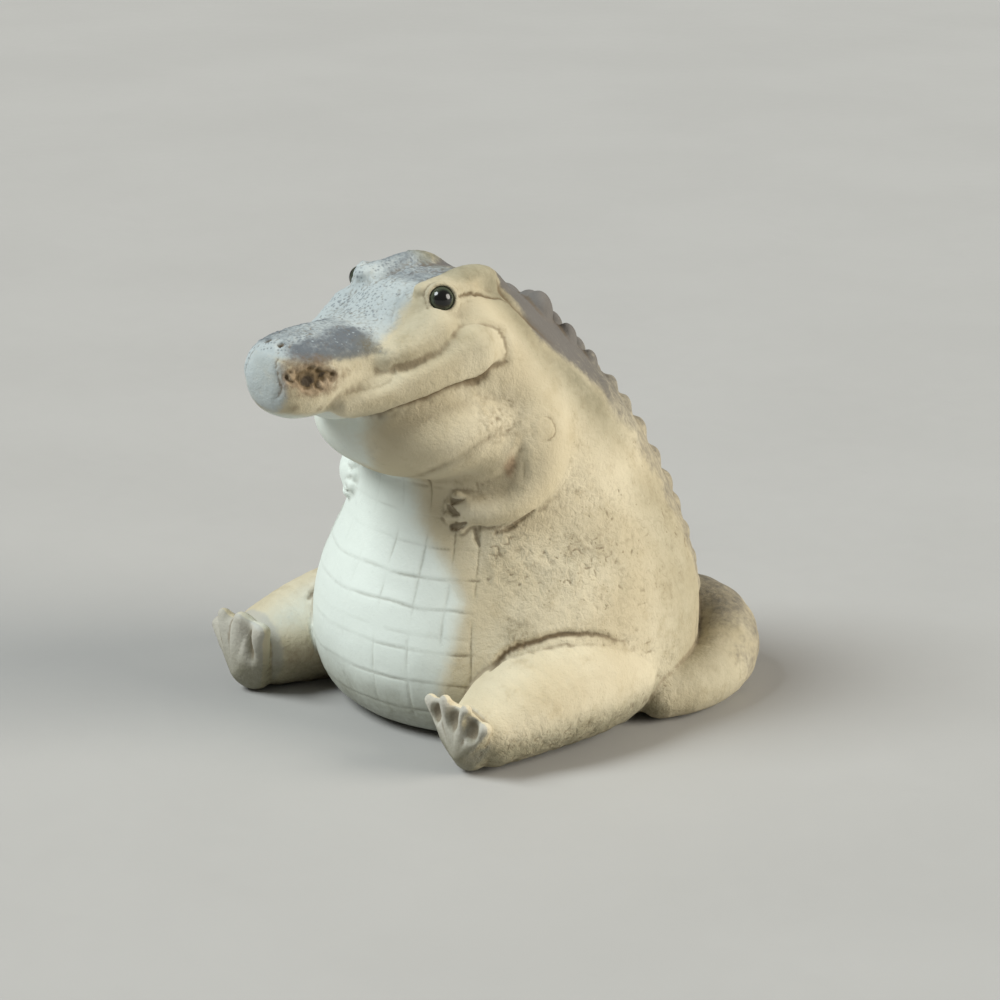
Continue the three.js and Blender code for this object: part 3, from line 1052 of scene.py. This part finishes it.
def press_holes(skin, points, coarse):
    """Scattered pits and short crooked furrows where the clay is coarse."""
    bent = points + 0.35 * np.stack([lumps(points, 0.9, 73 + axis) for axis in range(3)], axis=1)
    nearest, tag = speckles(bent, 1.7, 42)
    pit = ease(0.12 + 0.3 * tag, 0.05, nearest) * (tag < 0.4) * coarse
    skin.press(0.15 * pit)
    skin.mark("stain_and_painted_shadow", 0.2 * pit)
    worm = hump(0, 0.25, lumps(points, 1.2, 46)) * ease(0.05, 0.5, lumps(points, 1.9, 47)) * coarse
    skin.press(0.12 * worm)
    skin.mark("stain_and_painted_shadow", 0.05 * worm)


def press_neck(skin, points):
    """A crumbly, dusty patch on each side of the neck."""
    x, y, z = points.T
    neck = ease(11, 14, np.abs(x)) * hump(46.8, 3.4, z) * hump(-16.5, 5.5, y)
    crumbs = 0.6 * lumps(points, 1.0, 45) + 0.4 * lumps(points, 0.6, 48)
    skin.press(0.22 * neck * crumbs)
    skin.mark("stain_and_painted_shadow", 0.35 * neck * ease(0.0, 0.5, crumbs))
    skin.mark("dust", 0.8 * neck)


def waver(skin):
    """The soft unevenness of clay shaped by hand."""
    swell = 0.16 * lumps(skin.points, 7, 51) + 0.06 * lumps(skin.points, 2.8, 52)
    skin.press(swell * ease(0.0, 1.5, skin.points[:, 2]))


def mark_back(skin):
    """A plum wash along the spine, over the nape and onto the tail, with shade beside it."""
    x, y, z = skin.points.T
    back, _, _ = torso_section(z)
    behind = np.degrees(np.arctan2(np.abs(x), y - back))
    spread = behind + 9 * lumps(skin.points, 4, 61)
    edge = np.interp(z, *SPINE_EDGE)
    spine = ease(edge + 6, edge - 12, spread) * ease(-9, -5, y)
    skin.mark("plum", spine * (0.55 + 0.45 * ease(40, 56, z)) * ease(66, 64, z))
    # Behind the nape's edge, from its highest point down to its lowest.
    high, low = NAPE_EDGE[0], NAPE_EDGE[-1]
    lean = (low[1] - high[1]) / (low[0] - high[0])
    past = y - high[1] - lean * (np.abs(x) - high[0]) + 0.6 * lumps(skin.points, 2, 63)
    skin.mark("plum", ease(-0.3, 0.8, past) * ease(50, 54, z) * ease(67, 65.5, z))
    skin.mark("shade", 0.8 * ease(36, 48, z) * ease(98, 70, behind) * (1 - skin.marks["plum"]))
    skin.mark("shade", 0.4 * ease(40, 32, z) * ease(92, 66, behind) * (1 - skin.marks["plum"]))
    tail = ease(13, 20, y) * ease(8.5, 12.0, z) * ease(20, 15, z) * ease(-2, 3, x)
    tail = tail * ease(0.0, 0.5, skin.normals[:, 2])
    skin.mark("plum", 0.65 * tail)


def mark_legs(skin):
    """Painted shade in the webs, pale soles, slip spilt on the right leg, and warm rust with painted
    shade low on it.
    """
    x, y, z = skin.points.T
    # Painted shade in the hollows of the webs.
    for side in SIDES:
        for centre, radii in WEB_HOLLOWS[side]:
            away = np.linalg.norm((skin.points - on_leg(centre, side)) / radii, axis=1)
            skin.mark("shade", 0.8 * ease(1.35, 0.85, away))
    sole = ease(-26.5, -28.5, y) * ease(13.5, 12.5, z) * ease(15, 16.5, np.abs(x))
    skin.mark("sole", sole * ease(-0.1, -0.5, skin.normals[:, 1]))
    spill = ease(-27, -20, x) * ease(-14, -17, x) * ease(-5, -10, y)
    spill = spill * ease(0.1, 0.8, skin.normals[:, 2])
    skin.mark("pale", 0.5 * spill * ease(5, 9, z) * ease(20, 17, z))
    # Low on the right leg: warm rust, and painted shade.
    low = ease(-12, -15, x) * ease(-14, -18, y) * ease(-28.5, -26.5, y) * ease(11, 6, z)
    low = low * (1 - on_torso(skin))
    skin.mark("rust", 0.55 * low)
    skin.mark("shade", 0.35 * low)


def mark_front(skin):
    """Slip on the throat and a blush in each armpit."""
    x, y, z = skin.points.T
    throat = ease(7.5, 3.0, x + 2 * lumps(skin.points, 4, 62)) * ease(38, 41, z)
    throat = throat * ease(51.5, 50, z) * ease(-12, -18, y)
    skin.mark("pale", 0.75 * throat)
    for side in SIDES:
        place = skin.near(on_arm(ARMPIT_BLUSH, side))
        away = np.linalg.norm((skin.points - place) * (1, 1, 0.45), axis=1)
        skin.mark("rust", 0.95 * hump(0, 1.2, away))


def mark_hollows(skin):
    """How far each place lies in a hollow, from the smoothed skin around it."""
    fine = skin.smoothed(skin.points, 3)
    broad = skin.smoothed(fine, 22)
    lift = ((fine - skin.points) * skin.normals).sum(axis=1) / 0.05
    dip = ((broad - skin.points) * skin.normals).sum(axis=1) / 0.35
    # This depth sets where the finish lays umber: partly stain, partly painted shade.
    skin.mark("hollow", np.maximum(lift, dip))


def relieved(points, quads):
    """The skin with its relief and its marks."""
    skin = Skin(points, quads)
    waver(skin)
    skin.normals = skin.find_normals()
    press_plates(skin)
    press_creases(skin)
    press_snout(skin)
    press_pits(skin)
    skin.points[:, 2] = np.maximum(skin.points[:, 2], 0)
    skin.normals = skin.find_normals()
    mark_back(skin)
    mark_legs(skin)
    mark_front(skin)
    mark_hollows(skin)
    return skin


# Blender's side of it

def fast_mesh(name, points, faces):
    """A mesh of faces that all have as many corners."""
    corners = faces.shape[1]
    mesh = bpy.data.meshes.new(name)
    mesh.vertices.add(len(points))
    mesh.vertices.foreach_set("co", np.ascontiguousarray(points * METRES, np.float32).ravel())
    mesh.loops.add(faces.size)
    mesh.loops.foreach_set("vertex_index", faces.astype(np.int32).ravel())
    mesh.polygons.add(len(faces))
    mesh.polygons.foreach_set("loop_start", np.arange(0, faces.size, corners, dtype=np.int32))
    mesh.update(calc_edges=True)
    mesh.validate()
    return mesh


def placed(name, data):
    """A new object in the scene."""
    made = bpy.data.objects.new(name, data)
    bpy.context.scene.collection.objects.link(made)
    return made


def thinned(mesh, most):
    """The mesh with its flatter triangles merged until at most that many are left."""
    rough = placed(mesh.name, mesh)
    thinner = rough.modifiers.new("thinner", "DECIMATE")
    thinner.use_collapse_triangulate = True
    triangles = sum(len(p.vertices) - 2 for p in mesh.polygons)
    thinner.ratio = min(1, most / triangles)
    ready = rough.evaluated_get(bpy.context.evaluated_depsgraph_get())
    fine = bpy.data.meshes.new_from_object(ready)
    bpy.data.objects.remove(rough)
    bpy.data.meshes.remove(mesh)
    fine.polygons.foreach_set("use_smooth", [True] * len(fine.polygons))
    return fine


class Finish:
    """A material under construction, with the colour laid on so far."""

    def __init__(self, name, colour):
        self.material = bpy.data.materials.new(name)
        self.material.use_nodes = True
        self.tree = self.material.node_tree
        self.shader = self.tree.nodes["Principled BSDF"]
        self.place = self.node("ShaderNodeTexCoord").outputs["Object"]
        self.colour = colour

    def node(self, kind, **settings):
        made = self.tree.nodes.new(kind)
        for name, value in settings.items():
            setattr(made, name, value)
        return made

    def feed(self, socket, value):
        """Gives a socket a number, a colour or another node's output."""
        if isinstance(value, bpy.types.NodeSocket):
            self.tree.links.new(value, socket)
        elif isinstance(value, tuple):
            socket.default_value = (*value, 1)
        else:
            socket.default_value = value

    def mark(self, name):
        return self.node("ShaderNodeAttribute", attribute_name=name).outputs["Fac"]

    def maths(self, operation, a, b):
        made = self.node("ShaderNodeMath", operation=operation)
        self.feed(made.inputs[0], a)
        self.feed(made.inputs[1], b)
        return made.outputs[0]

    def times(self, a, b):
        return self.maths("MULTIPLY", a, b)

    def plus(self, a, b):
        return self.maths("ADD", a, b)

    def step(self, value, low, high):
        """A soft step from 0 at low to 1 at high."""
        made = self.node("ShaderNodeMapRange", interpolation_type="SMOOTHSTEP")
        for name, given in (("Value", value), ("From Min", low), ("From Max", high)):
            self.feed(made.inputs[name], given)
        return made.outputs["Result"]

    def noise(self, size, detail=2.0, roughness=0.5, warp=0.0):
        """Noise from 0 to 1 whose lumps are about size millimetres across."""
        made = self.node("ShaderNodeTexNoise")
        self.feed(made.inputs["Vector"], self.place)
        self.feed(made.inputs["Scale"], 1 / (size * METRES))
        self.feed(made.inputs["Detail"], detail)
        self.feed(made.inputs["Roughness"], roughness)
        self.feed(made.inputs["Distortion"], warp)
        return made.outputs["Fac"]

    def cells(self, size):
        """Distance to the nearest of spots about size millimetres apart."""
        made = self.node("ShaderNodeTexVoronoi")
        self.feed(made.inputs["Vector"], self.place)
        self.feed(made.inputs["Scale"], 1 / (size * METRES))
        return made.outputs["Distance"]

    def centred(self, noise, share):
        """A noise moved to lie evenly about zero, times a share."""
        return self.times(self.plus(noise, -0.5), share)

    def patch(self, name, uneven, low, high):
        """A soft step of a mark, with its edge made ragged by an uneven noise."""
        return self.step(self.plus(self.mark(name), uneven), low, high)

    def coat(self, colour, share, strength=1.0):
        """Lays a colour over what is there."""
        made = self.node("ShaderNodeMix", data_type="RGBA")
        self.feed(made.inputs["Factor"], self.times(share, strength))
        self.feed(made.inputs[6], self.colour)
        self.feed(made.inputs[7], colour)
        self.colour = made.outputs[2]

    def bump(self, height, distance, strength, below):
        """Bumps in millimetres, added to the normals from below."""
        made = self.node("ShaderNodeBump")
        self.feed(made.inputs["Height"], height)
        self.feed(made.inputs["Distance"], distance * METRES)
        self.feed(made.inputs["Strength"], strength)
        if below is not None:
            self.feed(made.inputs["Normal"], below)
        return made.outputs["Normal"]

    def done(self, roughness):
        """The material with its colour and roughness joined up."""
        self.feed(self.shader.inputs["Base Color"], self.colour)
        self.feed(self.shader.inputs["Roughness"], roughness)
        return self.material


# Colours of the clay, its glazes and its stains.
BEIGE = (0.52, 0.455, 0.31)
CREAM = (0.60, 0.54, 0.39)
SAND = (0.43, 0.36, 0.225)
WHITE = (0.68, 0.75, 0.71)
SKY = (0.43, 0.50, 0.53)
SLATE = (0.09, 0.105, 0.125)
OLIVE = (0.16, 0.15, 0.09)
BLACK_STAIN_AND_SHADOW = (0.022, 0.015, 0.008)
PLUM = (0.11, 0.105, 0.105)
UMBER = (0.12, 0.08, 0.035)
RUST = (0.22, 0.115, 0.06)
PEARL = (0.37, 0.38, 0.37)
EYE_PUPIL = (0.006, 0.006, 0.005)
EYE_RIM = (0.045, 0.055, 0.035)


def lay_washes(f, middle, fine, uneven):
    """Blue with slate dots, slate with blue specks, and plum."""
    f.coat(SKY, f.patch("wash", uneven, 0.15, 0.85), 0.85)
    dots = f.step(f.plus(f.cells(0.55), f.centred(middle, 0.9)), 0.42, 0.14)
    f.coat(SLATE, f.times(dots, f.step(f.mark("wash"), 0.82, 0.96)), 0.55)
    band = f.patch("band", f.times(uneven, 1.5), 0.1, 1.0)
    f.coat(SLATE, band, 0.95)
    specks = f.times(f.times(band, f.step(f.cells(0.8), 0.3, 0.12)), f.step(fine, 0.45, 0.6))
    f.coat(SKY, specks, 0.6)
    f.coat(PLUM, f.patch("plum", f.times(uneven, 1.2), 0.2, 0.95), 0.92)


def lay_tints(f, fine, uneven):
    """Warm rust, brown dust, and olive that is partly a tint and partly painted shade."""
    f.coat(RUST, f.patch("rust", uneven, 0.2, 0.9), 0.6)
    dust = f.times(f.patch("dust", uneven, 0.2, 1.0), f.step(fine, 0.35, 0.65))
    f.coat(UMBER, dust, 0.45)
    # The shade mark is an olive tint on the face, brow and back, and painted shade under the low
    # parts, in the webs, in the plates' grooves and low on the right leg; it also darkens the front
    # of the flanks.
    shade = f.times(f.mark("shade"), f.plus(1.0, f.times(uneven, 1.2)))
    f.coat(OLIVE, shade, 0.85)


def clay_finish():
    """Matt clay with a rubbed stain, a white slip on the belly and washes of blue and plum, and
    painted shade in its hollows, creases and gaps and under its low parts.
    """
    f = Finish("fired_clay", BEIGE)
    middle = f.noise(3.2, 4, 0.6)
    fine = f.noise(0.9, 3, 0.65)
    grain = f.noise(0.28, 2, 0.6)
    uneven = f.plus(f.centred(fine, 0.5), f.centred(middle, 0.5))
    f.coat(CREAM, f.step(f.noise(14, 3), 0.38, 0.62))
    f.coat(SAND, f.step(middle, 0.5, 0.75), 0.55)
    pale = f.patch("pale", f.times(uneven, 0.5), 0.05, 0.95)
    f.coat(WHITE, pale, 0.85)
    f.coat(PEARL, f.patch("sole", uneven, 0.2, 0.8), 0.6)
    lay_washes(f, middle, fine, uneven)
    lay_tints(f, fine, uneven)
    coarse = f.mark("rough")
    crumbs = f.noise(1.3, 3, 0.6, 1.5)
    f.coat(UMBER, f.times(coarse, f.step(crumbs, 0.5, 0.36)), 0.22)
    pores = f.times(f.step(f.cells(0.7), 0.3, 0.1), f.step(middle, 0.48, 0.62))
    pores = f.times(pores, f.plus(coarse, 0.15))
    f.coat(UMBER, pores, 0.3)
    # Umber in the hollows: partly the brown stain there, partly painted shade; fainter on the slip.
    hollow = f.patch("hollow", f.times(uneven, 0.35), 0.1, 1.0)
    f.coat(UMBER, f.times(hollow, f.plus(1.0, f.times(pale, -0.7))), 0.55)
    # Brown stain in pits, creases and the cavity, with painted shadow in the creases and gaps;
    # nearly black where strongest.
    f.coat(UMBER, f.patch("stain_and_painted_shadow", f.times(uneven, 0.2), 0.05, 1.0), 0.95)
    f.coat(BLACK_STAIN_AND_SHADOW, f.step(f.mark("stain_and_painted_shadow"), 0.75, 1.0), 0.85)
    # Each bump has its height, the distance that stands for and its strength.
    bare = f.maths("MAXIMUM", f.maths("SUBTRACT", 1.0, pale), 0.3)
    bumps = (
        (f.times(middle, bare), 0.3, 0.5),
        (f.times(fine, bare), 0.22, 0.7),
        (f.times(grain, bare), 0.07, 0.7),
        (f.maths("SUBTRACT", 1.0, pores), 0.12, 0.5),
        (f.times(crumbs, coarse), 0.35, 0.7),
    )
    normal = None
    for height, distance, strength in bumps:
        normal = f.bump(height, distance, strength, normal)
    f.feed(f.shader.inputs["Normal"], normal)
    return f.done(f.plus(f.plus(0.8, f.times(pale, -0.25)), f.times(fine, 0.12)))


def eye_finish():
    """Glossy black glaze, thinner and olive brown towards the rim."""
    f = Finish("eye_glaze", EYE_RIM)
    f.coat(EYE_PUPIL, f.patch("iris", f.centred(f.noise(0.5, 3), 0.25), 0.55, 0.8))
    return f.done(f.plus(0.08, f.times(f.noise(0.3), 0.12)))


def floor_finish():
    """A plain pale floor with the faintest mottling."""
    f = Finish("floor", FLOOR_COLOUR)
    f.coat(FLOOR_SHADE, f.step(f.noise(60, 4), 0.3, 0.7))
    return f.done(f.plus(0.6, f.times(f.noise(4, 3), 0.2)))


def eye_piece(side, material):
    """One eye bead, with a mark that is 1 where it looks out."""
    bpy.ops.mesh.primitive_uv_sphere_add(
        segments=EYE_SEGMENTS,
        ring_count=EYE_RINGS,
        radius=EYE_RADIUS * METRES,
        location=[c * METRES for c in mirrored(EYE_CENTRE, side)],
    )
    bead = bpy.context.object
    bpy.ops.object.transform_apply(location=True)
    bpy.ops.object.shade_smooth()
    look = Vector(unit(mirrored(GAZE, side)))
    iris = bead.data.attributes.new("iris", "FLOAT", "POINT")
    iris.data.foreach_set("value", [vertex.normal.dot(look) for vertex in bead.data.vertices])
    bead.data.materials.append(material)
    return bead


# Stage

CAMERA_AZIMUTH = 49
CAMERA_ELEVATION = 16.5
CAMERA_FIELD = 16
CAMERA_DISTANCE = 533.7
CAMERA_AIM = (-0.9, 28.0)
CAMERA_SENSOR = 36
CAMERA_CLIP = (0.01, 10)
FLOOR_SIZE = 4
FLOOR_COLOUR = (0.40, 0.395, 0.38)
FLOOR_SHADE = (0.385, 0.38, 0.365)
SKY_LIGHT = (1.0, 0.98, 0.94)
SKY_STRENGTH = 0.18
# The way to each light, its spread in degrees, its strength and its colour.
WINDOW = ((-0.7, 0.15, 0.8), 30, 3.4, (0.93, 0.985, 1.0))
LAMP = ((0.85, 0.2, 0.35), 40, 3.6, (1.0, 0.95, 0.86))


def camera():
    """A narrow lens far off to the figure's left, aimed at its middle."""
    a, e = math.radians(CAMERA_AZIMUTH), math.radians(CAMERA_ELEVATION)
    back = Vector((math.sin(a) * math.cos(e), -math.cos(a) * math.cos(e), math.sin(e)))
    right = Vector((math.cos(a), math.sin(a), 0))
    up = back.cross(right)
    aim = right * CAMERA_AIM[0] + up * CAMERA_AIM[1]
    place = (aim + back * CAMERA_DISTANCE) * METRES
    data = bpy.data.cameras.new("camera")
    data.sensor_width = CAMERA_SENSOR
    data.lens = data.sensor_width / 2 / math.tan(math.radians(CAMERA_FIELD / 2))
    data.clip_start, data.clip_end = CAMERA_CLIP
    made = placed("camera", data)
    turn = Matrix((right, up, back)).transposed().to_4x4()
    made.matrix_world = Matrix.Translation(place) @ turn
    bpy.context.scene.camera = made


def soft_sun(name, way, spread, strength, colour):
    """Soft light from a far window. way is to the right of the camera's view, towards the
    camera, and up."""
    a = math.radians(CAMERA_AZIMUTH)
    right = Vector((math.cos(a), math.sin(a), 0))
    near = Vector((math.sin(a), -math.cos(a), 0))
    data = bpy.data.lights.new(name, "SUN")
    data.angle = math.radians(spread)
    data.energy = strength
    data.color = colour
    made = placed(name, data)
    back = right * way[0] + near * way[1] + Vector((0, 0, way[2]))
    made.rotation_euler = back.to_track_quat("Z", "Y").to_euler()


def stage():
    """The floor, the faint light all round and the two soft lights."""
    bpy.ops.mesh.primitive_plane_add(size=FLOOR_SIZE)
    floor = bpy.context.object
    floor.name = "floor"
    floor.data.materials.append(floor_finish())
    world = bpy.data.worlds.new("studio")
    world.use_nodes = True
    sky = world.node_tree.nodes["Background"].inputs
    sky["Color"].default_value = (*SKY_LIGHT, 1)
    sky["Strength"].default_value = SKY_STRENGTH
    bpy.context.scene.world = world
    soft_sun("window", *WINDOW)
    soft_sun("lamp", *LAMP)
    bpy.context.scene.view_settings.view_transform = "Standard"


camera()
stage()

skin = relieved(*sculpted())
skin_mesh = fast_mesh("crocodile_skin", skin.points, skin.quads)
for name, values in skin.marks.items():
    mark = skin_mesh.attributes.new(name, "FLOAT", "POINT")
    mark.data.foreach_set("value", values.astype(np.float32))
body = placed("crocodile_skin", thinned(skin_mesh, MOST_TRIANGLES))
body.data.materials.append(clay_finish())
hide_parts("crocodile")
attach(body, "root")
eye = eye_finish()
for side, node in ((LEFT, "left_eye"), (RIGHT, "right_eye")):
    bead = eye_piece(side, eye)
    bead.name = node + "_bead"
    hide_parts(node)
    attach(bead, "root")
